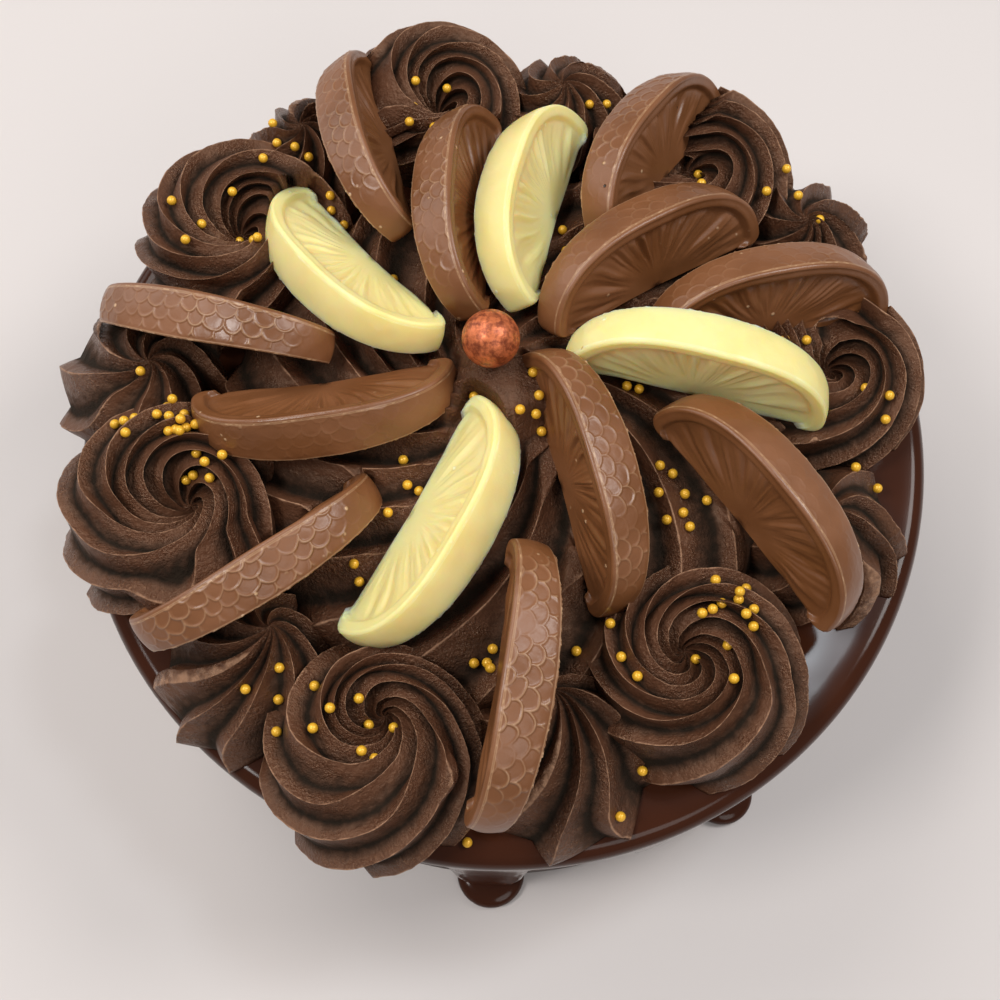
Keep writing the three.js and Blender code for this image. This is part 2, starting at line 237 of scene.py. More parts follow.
def addGroup(tree, group, shader, colours=None):
    # The group node with its outputs on the shader and the mesh's mark on its input
    node = tree.nodes.new("ShaderNodeGroup")
    node.node_tree = group
    for socketName, colour in (colours or {}).items():
        node.inputs[socketName].default_value = colour
    mark = tree.nodes.new("ShaderNodeAttribute")
    mark.attribute_name = "mark"
    tree.links.new(mark.outputs["Fac"], node.inputs["Mark"])
    tree.links.new(node.outputs["Color"], shader.inputs["Base Color"])
    tree.links.new(node.outputs["Roughness"], shader.inputs["Roughness"])
    tree.links.new(node.outputs["Normal"], shader.inputs["Normal"])


surfaceOutputs = [
    ("Color", "NodeSocketColor"), ("Roughness", "NodeSocketFloat"), ("Normal", "NodeSocketVector"),
]

# Buttercream

# Screen colours, roughness of matte, wet and dull cream, scales in noise cells a metre, height in
# millimetres. The colours paint light and shade: the groove colour is painted shade in the grooves, dark and
# light are the shaded and lit folds, the edge colour is a painted highlight on the crests, and the speck
# colour is a painted glint on grains.
cream = {
    "groove": (10, 6, 4),
    "dark": (37, 22, 15),
    "light": (88, 56, 39),
    "edge": (170, 130, 102),
    "speckGlint": (146, 110, 84),
    "matte": 0.45,
    "wet": 0.2,
    "dull": 0.9,
    "patchScale": 85,
    "grainScale": 1300,
    "lumpScale": 420,
    "lumpShare": 0.45,
    "speckGlintShare": 0.5,
    "grainHeight": 0.9,
    "specular": 0.5,
    "glint": (1.0, 0.72, 0.52, 1.0),
}


def makeCreamGrainAndPaintedLight():
    # Grains that come and go in wet patches, with painted glints on some of them. The mark paints the light
    # and shade of the piping: painted shade in dull dark grooves, folds that go from shaded to lit, and a
    # painted highlight on thin pale crests.
    group, source, result = newGroup("creamGrainAndPaintedLight", [("Mark", "NodeSocketFloat")], surfaceOutputs)
    place = objectPlace(group)
    patches = addNoise(group, place, cream["patchScale"], 2)
    grain = addNoise(group, place, cream["grainScale"], 3, 0.65)
    lumps = addNoise(group, place, cream["lumpScale"], 2)
    patchMask = addRange(group, patches, 0.36, 0.62, 0.3, 1.0)
    height = addMath(group, "MULTIPLY", grain, patchMask)
    height = addMath(group, "ADD", height, addMath(group, "MULTIPLY", lumps, cream["lumpShare"]))
    blotches = addRange(group, lumps, 0.3, 0.7, -0.06, 0.06)
    mark = addMath(group, "ADD", source.outputs["Mark"], blotches)
    # Painted shade in the grooves, then folds that go from shaded to lit
    outOfGrooveShade = addRange(group, mark, 0.0, 0.18, 0.0, 1.0)
    tone = addMix(group, outOfGrooveShade, srgb(*cream["groove"]), srgb(*cream["dark"]))
    tone = addMix(group, addRange(group, mark, 0.05, 0.55, 0.0, 1.0), tone, srgb(*cream["light"]))
    # Painted highlight on the thin crests
    tone = addMix(group, addRange(group, mark, 0.85, 1.05, 0.0, 0.8), tone, srgb(*cream["edge"]))
    # Painted glints on grains in wet patches, on the folds only
    glintSpecks = addRange(group, grain, 0.56, 0.68, 0.0, cream["speckGlintShare"])
    glintSpecks = addMath(group, "MULTIPLY", glintSpecks, patchMask)
    glintSpecks = addMath(group, "MULTIPLY", glintSpecks, addRange(group, mark, 0.2, 0.6, 0.0, 1.0))
    tone = addMix(group, glintSpecks, tone, srgb(*cream["speckGlint"]))
    wetness = addRange(group, patches, 0.36, 0.62, cream["matte"], cream["wet"])
    dullness = addRange(group, mark, 0.1, 0.45, cream["dull"], cream["wet"])
    group.links.new(tone, result.inputs["Color"])
    group.links.new(addMath(group, "MAXIMUM", wetness, dullness), result.inputs["Roughness"])
    group.links.new(addBump(group, height, cream["grainHeight"] * mm), result.inputs["Normal"])
    return group


buttercream, tree, shader = newMaterial(
    "buttercream", Specular_IOR_Level=cream["specular"], Specular_Tint=cream["glint"])
addGroup(tree, makeCreamGrainAndPaintedLight(), shader)


# Moulded chocolate

milk = {
    # Crumb is the pale colour of crumbs and chips, and also of the painted highlight on scale arcs and rind
    # edges
    "Base": srgb(112, 69, 38), "Cloud": srgb(128, 82, 50), "CrumbAndHighlight": srgb(205, 168, 130),
    # Hole is the painted shade inside the air holes
    "HoleShade": srgb(28, 14, 8),
}
white = {
    "Base": srgb(234, 214, 142), "Cloud": srgb(238, 222, 156), "CrumbAndHighlight": srgb(246, 240, 205),
    # Hole is the painted shade inside the air holes
    "HoleShade": srgb(206, 184, 112),
}
# Scales in cells a metre, and the height of the dimples in millimetres
skin = {
    "cloudScale": 60, "chipScale": 700, "crumbScale": 230, "crumbPatchScale": 75, "holeScale": 48,
    "dimpleScale": 380, "dimpleHeight": 0.12, "arcHighlightShare": 0.3, "crumbShare": 0.8, "gloss": 0.3, "satin": 0.42,
}


def makeChocolateSkin():
    # Slow cloudy colour, a painted highlight on the arcs of the scales and a fainter painted highlight line
    # along the edges where the mark says so, worn pale chips on those edges, crumbs near random points in
    # some patches, a few air holes with painted shade in them, and a faint dimpled surface
    group, source, result = newGroup(
        "chocolateSkin",
        [("Base", "NodeSocketColor"), ("Cloud", "NodeSocketColor"), ("CrumbAndHighlight", "NodeSocketColor"),
         ("HoleShade", "NodeSocketColor"), ("Mark", "NodeSocketFloat")],
        surfaceOutputs,
    )
    place = objectPlace(group)
    mark = source.outputs["Mark"]
    pale = source.outputs["CrumbAndHighlight"]
    clouds = addNoise(group, place, skin["cloudScale"], 3)
    cloudy = addRange(group, clouds, 0.3, 0.7, 0.0, 1.0)
    tone = addMix(group, cloudy, source.outputs["Base"], source.outputs["Cloud"])
    # Painted highlight on the arcs of the scales, and a fainter painted highlight line where the mark marks
    # the edges
    arcHighlight = addRange(group, mark, 0.0, 0.45, 0.0, skin["arcHighlightShare"])
    arcHighlight = addMath(group, "MULTIPLY", arcHighlight, addRange(group, mark, 0.5, 0.8, 1.0, 0.5))
    tone = addMix(group, arcHighlight, tone, pale)
    chips = addRange(group, addNoise(group, place, skin["chipScale"], 2), 0.5, 0.66, 0.0, 0.7)
    worn = addMath(group, "MULTIPLY", addRange(group, mark, 0.5, 1.0, 0.0, 1.0), chips)
    tone = addMix(group, worn, tone, pale)
    crumbs = addRange(group, addCells(group, place, skin["crumbScale"]), 0.06, 0.15, 1.0, 0.0)
    chosen = addRange(group, addNoise(group, place, skin["crumbPatchScale"], 1), 0.57, 0.63, 0.0, 1.0)
    crumbMask = addMath(group, "MULTIPLY", crumbs, chosen)
    tone = addMix(group, addMath(group, "MULTIPLY", crumbMask, skin["crumbShare"]), tone, pale)
    # Air holes, with painted shade inside them and a dip in the surface
    holeMask = addRange(group, addCells(group, place, skin["holeScale"]), 0.018, 0.026, 1.0, 0.0)
    tone = addMix(group, holeMask, tone, source.outputs["HoleShade"])
    height = addNoise(group, place, skin["dimpleScale"], 3)
    height = addMath(group, "ADD", height, addMath(group, "MULTIPLY", crumbMask, 1.5))
    height = addMath(group, "SUBTRACT", height, addMath(group, "MULTIPLY", holeMask, 3.0))
    sheen = addRange(group, clouds, 0.3, 0.7, skin["gloss"], skin["satin"])
    group.links.new(tone, result.inputs["Color"])
    group.links.new(sheen, result.inputs["Roughness"])
    group.links.new(addBump(group, height, skin["dimpleHeight"] * mm), result.inputs["Normal"])
    return group


chocolateSkin = makeChocolateSkin()
milkChocolate, tree, shader = newMaterial("milkChocolate", Specular_IOR_Level=0.55)
addGroup(tree, chocolateSkin, shader, milk)
whiteChocolate, tree, shader = newMaterial(
    "whiteChocolate", Specular_IOR_Level=0.35, Subsurface_Weight=0.85,
    Subsurface_Radius=(1.0, 0.62, 0.25), Subsurface_Scale=9 * mm)
addGroup(tree, chocolateSkin, shader, white)


# Plain finishes

ganache, tree, shader = newMaterial(
    "ganache", Base_Color=srgb(60, 30, 17), Roughness=0.13, Specular_IOR_Level=0.16)
slowWaves = addNoise(tree, objectPlace(tree), 45, 1)
tree.links.new(addBump(tree, slowWaves, 0.4 * mm), shader.inputs["Normal"])

cakeSide, tree, shader = newMaterial("cakeSide", Base_Color=srgb(62, 39, 30), Roughness=0.55)
stretch = tree.nodes.new("ShaderNodeMapping")
stretch.inputs["Scale"].default_value = (1.0, 1.0, 9.0)  # scraper marks run round the cake
tree.links.new(objectPlace(tree), stretch.inputs["Vector"])
scrapes = addNoise(tree, stretch.outputs["Vector"], 60, 3)
tree.links.new(addBump(tree, scrapes, 0.5 * mm), shader.inputs["Normal"])

bronze, tree, shader = newMaterial("bronze", Metallic=0.4, Roughness=0.36)
mottle = addNoise(tree, objectPlace(tree), 650, 4, 0.65)
dust = addRange(tree, mottle, 0.34, 0.64, 0.0, 1.0)
tree.links.new(addMix(tree, dust, srgb(134, 62, 34), srgb(212, 116, 70)), shader.inputs["Base Color"])
tree.links.new(addBump(tree, mottle, 0.15 * mm), shader.inputs["Normal"])

goldSugar, _, _ = newMaterial("goldSugar", Base_Color=srgb(232, 176, 48), Metallic=0.15, Roughness=0.3)
print("materials made")


# Cake and glaze

drum = {"radius": 105.1, "height": 92.5, "edge": 1.2, "columns": 180, "sideRows": (30, 60), "topRing": 40}
glaze = {
    "radius": 108, "top": 95, "thickness": 2.2, "rim": 4.5, "skirt": 21, "bulge": 1.1, "floorGap": 1.2,
    "hemRound": 1.2, "longDrip": 25, "poolHeight": 3.4, "poolSunk": 3, "poolColumns": 72, "columns": 900,
    "topRings": (30, 70, 95, 100), "rimRows": 9, "sideRows": 22,
}
# Waves of the skirt: height, how many round the cake, and turn in degrees
skirtWaves = [(2.2, 5, 0), (1.4, 9, 40)]
# Half widths from the middle of a drip to where its side leaves the skirt, and the width of that step
dripFoot, dripStep = 1.5, 0.75
# Each drip: azimuth in degrees, half width, and how far it runs below the skirt
drips = [
    (268, 7, 76), (290, 4.2, 12), (309, 6.4, 76), (330, 6.5, 40), (357, 7.5, 20), (26, 6.2, 33),
    (56, 7.6, 46), (86, 6.4, 18), (115, 7.4, 38), (146, 6, 24), (176, 7.8, 44), (208, 6.6, 30),
    (239, 7.2, 22),
]
# Round pools where the longest drips reach the foot: azimuth and radius
pools = [(268, 10), (309, 9.4)]


def addDrum():
    # Rows go up the side from the underside to the top, with both edges bevelled
    radius, height, edge, columns = drum["radius"], drum["height"], drum["edge"], drum["columns"]
    profile = np.array([
        (radius - edge, 0), (radius, edge), *[(radius, rise) for rise in drum["sideRows"]],
        (radius, height - edge), (radius - edge, height), (drum["topRing"], height),
    ])
    angle = np.linspace(0, fullTurn, columns, endpoint=False)
    reach, rise = profile[:, :1], np.repeat(profile[:, 1:], columns, axis=1)
    grid = np.stack([reach * np.cos(angle), reach * np.sin(angle), rise], axis=-1)
    points, faceSets = closedRows(grid, (0, 0, 0), (0, 0, height))
    addPiece("cakeDrum", points, faceSets, cakeSide, ["cake_drum"])


def glazeRun(azimuth):
    # How far the glaze runs down: an uneven skirt of two waves, and drips with steep sides and a round end
    run = glaze["skirt"] + 0 * azimuth
    for height, count, turn in skirtWaves:
        run = run + height * np.sin(np.radians(azimuth * count + turn))
    for centre, halfWidth, length in drips:
        turn = np.abs((azimuth - centre + 540) % 360 - 180)
        share = np.radians(turn) * glaze["radius"] / halfWidth
        end = length - halfWidth * (1 - np.sqrt(1 - np.clip(share, 0, 0.99) ** 2))
        run = run + np.where(share < dripFoot, end * smoothStep((dripFoot - share) / dripStep), 0)
    return np.minimum(run, glaze["top"] - glaze["floorGap"])


def poolShape(azimuth, radius):
    # A flat drop with a round edge, half of it behind the cake's side
    share = np.array([0.96, 1.0, 0.99, 0.95, 0.86, 0.6])[:, None]
    height = np.array([0, 0.2, 0.45, 0.7, 0.92, 1.0])[:, None] * glaze["poolHeight"]
    around = np.linspace(0, fullTurn, glaze["poolColumns"], endpoint=False)[None, :]
    reach = radius * share
    grid = np.stack([reach * np.cos(around), reach * np.sin(around), height + 0 * around], axis=-1)
    points, faceSets = closedRows(grid, (0, 0, 0), (0, 0, glaze["poolHeight"]))
    ring = glaze["radius"] - glaze["poolSunk"]
    angle = math.radians(azimuth)
    points = points + (ring * math.cos(angle), ring * math.sin(angle), glaze["floorGap"])
    return points, outward(points, faceSets)


def addGlaze():
    # Rows go from the middle of the top over the rim, down to the hem, and back up inside. The skin swells
    # towards the end of a drip and rounds in under it.
    columns = glaze["columns"]
    azimuth = np.linspace(0, 360, columns, endpoint=False)
    angle = np.radians(azimuth)
    run = glazeRun(azimuth)
    radius, top, rim = glaze["radius"], glaze["top"], glaze["rim"]
    inside = radius - glaze["thickness"]
    level = np.ones(columns)
    rows = [(level * reach, level * top) for reach in glaze["topRings"]]
    for bend in np.linspace(0, math.pi / 2, glaze["rimRows"]):
        reach, height = radius - rim + rim * math.sin(bend), top - rim + rim * math.cos(bend)
        rows.append((level * reach, level * height))
    swelling = glaze["bulge"] * np.clip((run - glaze["skirt"]) / glaze["longDrip"], 0, 1)
    for share in np.linspace(0.06, 1, glaze["sideRows"]):
        depth = rim + (run - rim - glaze["hemRound"]) * share
        swell = swelling * smoothStep((share - 0.55) / 0.35)
        rows.append((radius - 0.5 + 0.5 * (1 - share) + swell, top - depth))
    rows.append((radius - 1.0 + swelling * 0.4, top - run))
    rows.append((level * inside, top - run + 0.3))
    rows.append((level * inside, level * (top - glaze["thickness"])))
    grid = np.stack([np.stack([r * np.cos(angle), r * np.sin(angle), z], axis=-1) for r, z in rows])
    points, faceSets = closedRows(grid, (0, 0, top), (0, 0, top - glaze["thickness"]))
    shapes = [(points, outward(points, faceSets))] + [poolShape(*values) for values in pools]
    points, faceSets = joinShapes(shapes)
    addPiece("ganacheGlaze", points, faceSets, ganache, ["ganache_glaze"])


addDrum()
addGlaze()
print("cake and glaze made")


# Moulded segments

segment = {
    "chord": 64, "rise": 21.3, "squareness": 2.3, "edge": 5.5, "rind": 12, "endShare": 0.64, "endRound": 2.6,
    "lip": 3.0, "lipSlope": 1.3, "recess": 1.4, "frontRound": 1.0, "backBevel": 0.25, "backDrop": 0.35,
    "chip": 0.25, "crown": 0.45, "wobble": 0.12, "rows": 320, "plainRows": 180, "rindColumns": 52,
    "panelColumns": 22, "seed": 200,
}
# Scales on the rind and the fan of veins in the panel
relief = {
    "scalePitch": 4.6, "scaleRow": 3.0, "disc": 0.58, "bead": 0.88, "beadWidth": 0.1, "scaleHeight": 0.5,
    "endGap": 9, "endFade": 12, "edgeGap": 0.6, "edgeFade": 0.8, "drift": 0.7, "sag": 0.3, "faint": 0.45,
    "veins": 11, "veinBend": 0.45, "fineVeins": 0.35, "veinHeight": 0.6,
}
# How cream gives way to a segment: shares of the segment's outline, and millimetres
press = {
    "outline": 1.04, "soft": 0.05, "above": 30, "belowChord": 7, "chordSoft": 5,
    "panelReach": 10, "panelSoft": 3, "panelBelow": 1, "panelBelowSoft": 2,
}
# Chocolate, middle of the chord, heading of the outer end, its slope, lean, and strength of the scales
segments = [
    ("milk", -29.5, 71, 111.5, 101, -17, 34, 1), ("milk", -5, 49, 115.5, 87, -12, 37, 0.8),
    ("white", 12.5, 49.5, 115.5, 76, -14, 43, 0), ("milk", 41, 64.5, 111, 57, -18, 35, 0.7),
    ("milk", 37, 31, 115.5, 33, -11, 32, 0.4), ("milk", 65, 20, 111, 15, -9, 30, 0.4),
    ("white", 45.5, 2, 116.5, -11, -9, 15, 0), ("milk", 56, -30, 114, -52, -7, 29, 0.12),
    ("milk", 14.5, -22, 116.5, -74, -10, 26, 0.8), ("milk", -0.5, -69, 118, -99, -9, 17, 1),
    ("white", -21, -29.5, 116, -120, -8, 54, 0), ("milk", -58, -38, 111.5, -147, -3, 30, 1),
    ("milk", -43, 3, 115.5, -174, -6, 54, 0.25), ("milk", -69.5, 21, 110.5, 162, -16, 19, 1),
    ("white", -33, 37, 115, 129, -15, 60, 0),
]


def fishScales(along, across):
    # Rows of overlapping discs: the first disc that covers a point lifts it, most at a round bead along its
    # rim
    pitch, row = relief["scalePitch"], relief["scaleRow"]
    disc = pitch * relief["disc"]
    height = np.zeros_like(along)
    found = np.zeros_like(along, dtype=bool)
    base = np.floor(across / row)
    for step in (-1, 0, 1):
        line = base + step
        shift = (line % 2) * pitch / 2
        sideways = (along - shift + pitch / 2) % pitch - pitch / 2
        out = np.hypot(sideways, across - line * row) / disc
        inside = (out < 1) & ~found
        rimBead = np.exp(-((out - relief["bead"]) / relief["beadWidth"]) ** 2)
        height = np.where(inside, 0.2 + 0.8 * rimBead, height)
        found |= inside
    return height


def rimAt(ray):
    # Distance from the middle of the chord to the squared arc of the rind
    power = segment["squareness"]
    along = np.abs(np.cos(ray)) / (segment["chord"] / 2)
    rising = np.abs(np.sin(ray)) / segment["rise"]
    return (along ** power + rising ** power) ** (-1 / power)


def fanFaces(rows, columns):
    # Quads between the rays, fans to the chord's middle on both sides, and a flat cut at each chord end
    backPole, panelPole = rows * columns, rows * columns + 1
    start = np.arange(rows - 1) * columns
    end = start + columns - 1
    firstRow = np.arange(columns)
    lastRow = (rows - 1) * columns + firstRow
    return [
        gridQuads(rows, columns, wrap=False),
        np.stack([np.full(rows - 1, backPole), start + columns, start], axis=-1),
        np.stack([np.full(rows - 1, panelPole), end, end + columns], axis=-1),
        np.concatenate([[backPole], firstRow, [panelPole]])[None, :],
        np.concatenate([[panelPole], lastRow[::-1], [backPole]])[None, :],
    ]


def segmentShape(seed, scaleShare):
    # Rows are rays from the middle of the chord to the rind. Along a row the surface goes out over the flat
    # back, across the rind, over the lip, down into the panel and back to the middle of the chord. The rind
    # is rounded in at both ends of the chord. The mark is 1 on the rind's edges, for worn chips and a faint
    # painted highlight line, and 0.5 on the arcs of the scales, for a painted highlight.
    rows = segment["rows"] if scaleShare else segment["plainRows"]
    lip, slope, recess, bevel = segment["lip"], segment["lipSlope"], segment["recess"], segment["backBevel"]
    ray = np.linspace(0, math.pi, rows)[:, None]
    rim = rimAt(ray)
    low = np.clip(1 - rim * np.sin(ray) / segment["endRound"], 0, 1)
    rim = rim - segment["endRound"] * (1 - np.sqrt(1 - low ** 2))
    outline = np.hstack([rim * np.cos(ray), rim * np.sin(ray)])
    arc = np.concatenate([[0], np.cumsum(np.hypot(*np.diff(outline, axis=0).T))])[:, None]
    rindWidth = segment["rind"] * (segment["endShare"] + (1 - segment["endShare"]) * np.sin(ray))

    def halfWidth(distance):
        # Half the thickness grows evenly from the chord to the rind
        return (segment["edge"] + (rindWidth - segment["edge"]) * distance / rim) / 2

    # Flat back with a chipped edge
    chips = softNoise(arc * 0.55, 0 * arc, seed) + softNoise(arc * 1.9, 0 * arc, seed + 1)
    backShare = np.linspace(0.12, 1, 8)[None, :]
    back = backShare * (rim - segment["backDrop"] + segment["chip"] * chips)
    blocks = [(back, halfWidth(back))]

    # Rind with a slight crown and the scales, which fade out at the ends and the edges
    crossShare = np.linspace(0, 1, segment["rindColumns"])[None, :]
    wide = halfWidth(rim)
    y = wide - bevel - crossShare * (2 * wide - bevel - segment["frontRound"])
    drift = relief["drift"] * softNoise(arc * 0.25, y * 0.25, seed + 5)
    sag = relief["sag"] * softNoise(arc * 0.3, y * 0.3, seed + 8)
    scales = fishScales(arc + drift, y + 30 + sag)
    fromMiddle = np.abs(arc - arc[-1, 0] / 2)
    endFade = smoothStep((arc[-1, 0] / 2 - relief["endGap"] - fromMiddle) / relief["endFade"])
    scaleFade = endFade * smoothStep((wide - relief["edgeGap"] - np.abs(y)) / relief["edgeFade"])
    faint = relief["faint"] * (1 - softNoise(arc * 0.16, y * 0.16, seed + 6))
    scaleFade = scaleFade * (1 - faint)
    crown = segment["crown"] * (1 - (2 * crossShare - 1) ** 2)
    wobble = segment["wobble"] * softNoise(arc * 0.3, y * 0.3, seed + 2)
    blocks.append((rim + crown + wobble + scaleShare * relief["scaleHeight"] * scales * scaleFade, y))

    # Rounded front edge, lip, and slope down to the panel
    bend = np.linspace(0.2, 1, 5)[None, :] * math.pi / 2
    frontOut = rim - segment["frontRound"] * (1 - np.cos(bend))
    blocks.append((frontOut, -(wide - segment["frontRound"] * (1 - np.sin(bend)))))
    lipOut = rim - lip * np.linspace(0.4, 1, 4)[None, :]
    blocks.append((lipOut, -halfWidth(lipOut)))
    slopeShare = np.linspace(0.2, 1, 5)[None, :]
    slopeOut = rim - lip - slope * slopeShare
    blocks.append((slopeOut, recess * smoothStep(slopeShare) - halfWidth(slopeOut)))

    # Panel with a fan of veins that die out towards the chord
    panelShare = np.linspace(0.97, 0.08, segment["panelColumns"])[None, :]
    panel = (rim - lip - slope) * panelShare
    fan = ray * relief["veins"] + relief["veinBend"] * softNoise(panel * 0.15, ray * 2, seed + 3)
    fineVeins = relief["fineVeins"] * softNoise(fan * 2, panel * 0.12, seed + 7)
    veins = softNoise(fan, panel * 0.06 + 7, seed + 4) + fineVeins
    veinFade = smoothStep((panelShare - 0.3) / 0.45) * smoothStep((1 - panelShare) / 0.06)
    blocks.append((panel, recess - halfWidth(panel) - relief["veinHeight"] * veins * veinFade))

    # Marks for the worn chips and the painted highlight line on the edges, and for the painted highlight on
    # the scale arcs
    edgeWearAndHighlight = np.clip(1 - np.minimum(crossShare, 1 - crossShare) * 28, 0, 1)
    arcHighlight = 0.5 * scaleShare * scaleFade * np.clip(scales * 1.6 - 0.6, 0, 1)
    backEdge = np.clip(backShare * 25 - 24, 0, 1)
    marks = [backEdge, np.maximum(edgeWearAndHighlight, arcHighlight)] + [0 * across for _, across in blocks[2:]]

    def fullRows(parts):
        return np.hstack([np.broadcast_to(part, (rows, part.shape[1])) for part in parts])

    distance = fullRows([out for out, _ in blocks])
    sideways = fullRows([across for _, across in blocks])
    grid = np.stack([distance * np.cos(ray), sideways, distance * np.sin(ray)], axis=-1)
    poles = [(0, segment["edge"] / 2, 0), (0, recess - segment["edge"] / 2, 0)]
    points = np.vstack([grid.reshape(-1, 3), poles])
    return points, fanFaces(rows, grid.shape[1]), np.append(fullRows(marks), (0, 0))


def segmentPose(heading, slope, lean):
    # Lean about the chord, then slope, then heading
    return turnMatrix("z", heading) @ turnMatrix("y", -slope) @ turnMatrix("x", -lean)


def outlineShare(local):
    # Distance from the middle of the chord, as a share of the way to the rind
    return np.hypot(local[:, 0], local[:, 2]) / rimAt(np.arctan2(local[:, 2], local[:, 0]))


def pressUnder(points):
    # Cream right above a segment goes straight down to the segment's middle plane, softly at the outline, and
    # cream that still lies close to its panel goes straight back to that plane
    for _, x, y, z, heading, slope, lean, _ in segments:
        pose = segmentPose(heading, slope, lean)
        local = (points - (x, y, z)) @ pose
        straightUp = pose[2]
        fall = local[:, 1] / straightUp[1]
        landing = local - fall[:, None] * straightUp
        weight = smoothStep((press["outline"] - outlineShare(landing)) / press["soft"])
        weight = weight * smoothStep((landing[:, 2] + press["belowChord"]) / press["chordSoft"])
        weight = np.where((fall > 0) & (fall < press["above"]), weight, 0)
        points = points - np.outer(fall * weight, (0, 0, 1))
        local = (points - (x, y, z)) @ pose
        weight = smoothStep((1 - outlineShare(local)) / press["soft"])
        weight = weight * smoothStep((local[:, 2] + press["panelBelow"]) / press["panelBelowSoft"])
        weight = weight * smoothStep((local[:, 1] + press["panelReach"]) / press["panelSoft"])
        weight = weight * (local[:, 1] < 0)
        points = points - np.outer(local[:, 1] * weight, pose[:, 1])
    return points


segmentCount = {"milk": 0, "white": 0}
for index, (chocolate, x, y, z, heading, slope, lean, scaleShare) in enumerate(segments):
    segmentCount[chocolate] += 1
    number = segmentCount[chocolate]
    points, faceSets, mark = segmentShape(segment["seed"] + seedStep * index, scaleShare)
    points = points @ segmentPose(heading, slope, lean).T + (x, y, z)
    material = milkChocolate if chocolate == "milk" else whiteChocolate
    addPiece(f"{chocolate}Segment{number}", points, faceSets, material,
             [f"segment_{chocolate}_{number}"], mark)
print("segments moulded")


# Piped buttercream

onTop = 95.3  # the piping stands on the glaze
# Large rosettes: azimuth in degrees, distance from the axis, outer radius, pull of the eye inwards, and where
# the tail starts
rosettes = [
    (8, 81, 24.5, -1, 270), (54, 83, 27, 0, 250), (101, 92, 24, 4, 240), (144, 83, 27, 0, 230),
    (198, 84, 27.5, 5, 200), (250, 87.5, 25.5, 8, 10), (305, 78, 26, 5, -10),
]
# Small star drops: azimuth in degrees, distance from the axis, foot radius, pull of the tip inwards
drops = [
    (33, 91, 20, -1), (80, 90, 19, -2), (124, 91, 18, -3), (173, 92, 22, 5), (226, 87, 21, 10),
    (279, 84, 22, 13), (339, 82, 21, 0),
]
# Profiles run from the middle of the top to the foot: share of the radius, share of the height, share of the
# ridge depth, and how far the ridges have turned there in degrees
rosette = {
    "profile": [
        (0, 0.52, 0, 110), (0.1, 0.55, 0.5, 76), (0.22, 0.72, 0.9, 35), (0.36, 0.91, 1, -15),
        (0.52, 1, 1, -75), (0.69, 0.95, 1, -117), (0.85, 0.75, 1, -157), (0.97, 0.4, 1, -191),
        (0.98, 0, 0.9, -212),
    ],
    "slimness": 0.85, "ridges": 8, "perRidge": 24, "rows": 200, "depth": 3.8, "groove": 0.8, "flare": 0,
    "seed": 30,
}
drop = {
    "profile": [
        (0, 1, 0, 40), (0.16, 0.97, 0.5, 8), (0.38, 0.87, 0.9, -14), (0.6, 0.69, 1, -29),
        (0.8, 0.46, 1.1, -41), (0.95, 0.2, 1.1, -49), (1, 0, 1.1, -53),
    ],
    "height": 19, "ridges": 9, "perRidge": 20, "rows": 110, "depth": 3.6, "groove": 0.75, "flare": 0.6,
    "tailTurn": 150, "seed": 130,
}
mound = {
    "profile": [
        (0, 1, 0, 0), (0.1, 0.98, 0.05, 0), (0.18, 0.82, 0.3, -8), (0.32, 0.67, 0.9, -24),
        (0.55, 0.58, 1, -45), (0.78, 0.5, 1, -62), (0.93, 0.34, 1, -74), (1, 0, 0.9, -80),
    ],
    "radius": 72, "height": 33, "ridges": 20, "perRidge": 18, "rows": 200, "depth": 4.2, "groove": 0.75,
    "flare": 0, "tailStart": 90, "seed": 300,
}
# What all piping shares: shape of a blade, how uneven the blades are, and the tail of the outline
# plainMark is the mark, and so the painted tone between shade and highlight, of cream where there are no
# ridges
piping = {
    "sweep": 1.7, "crestAfter": 0.08, "crestBefore": 0.05, "crowding": 0.7, "unevenWidth": 0.42,
    "unevenDepth": 0.35, "worn": 0.15, "ragged": 0.1, "tail": 0.07, "tailRise": 0.1, "tailStep": 0.08,
    "wander": 0.025, "plainMark": 0.4,
}


def smoothCurve(rows, count):
    # A Catmull-Rom curve through the rows
    rows = np.array(rows, dtype=float)
    padded = np.vstack([2 * rows[0] - rows[1], rows, 2 * rows[-1] - rows[-2]])
    step = np.linspace(0, len(rows) - 1, count)
    k = np.minimum(step.astype(int), len(rows) - 2)
    f = (step - k)[:, None]
    a, b, c, d = padded[k], padded[k + 1], padded[k + 2], padded[k + 3]
    return b + 0.5 * f * (c - a + f * (2 * a - 5 * b + 4 * c - d + f * (3 * (b - c) + d - a)))


def ridgeAngles(ridges, perRidge):
    # Angles round the form, closer together at the crests
    step = np.arange(perRidge) / perRidge
    share = step - piping["crowding"] * np.sin(fullTurn * step) / fullTurn
    return ((np.arange(ridges)[:, None] + share) * fullTurn / ridges).ravel()


def bladeShare(angle, ridges, groove):
    # From a sharp crest the surface falls in a hollow sweep to a groove, and climbs a steep wall to the next
    # crest. Gives the depth, 0 on a crest and 1 in a groove, and a mark for the painted light, 1 on a thin
    # crest for a painted highlight and 0 in a groove for painted shade.
    share = (angle * ridges / fullTurn) % 1
    fall = np.clip(share / groove, 0, 1)
    depth = np.where(share < groove, 1 - (1 - fall) ** piping["sweep"], (1 - share) / (1 - groove))
    nearCrest = np.minimum(share / piping["crestAfter"], (1 - share) / piping["crestBefore"])
    edge = np.clip(1 - nearCrest, 0, 1)
    return depth, 0.12 + 0.58 * (1 - depth) + 0.3 * edge - 0.12 * smoothStep(depth * 8 - 7)


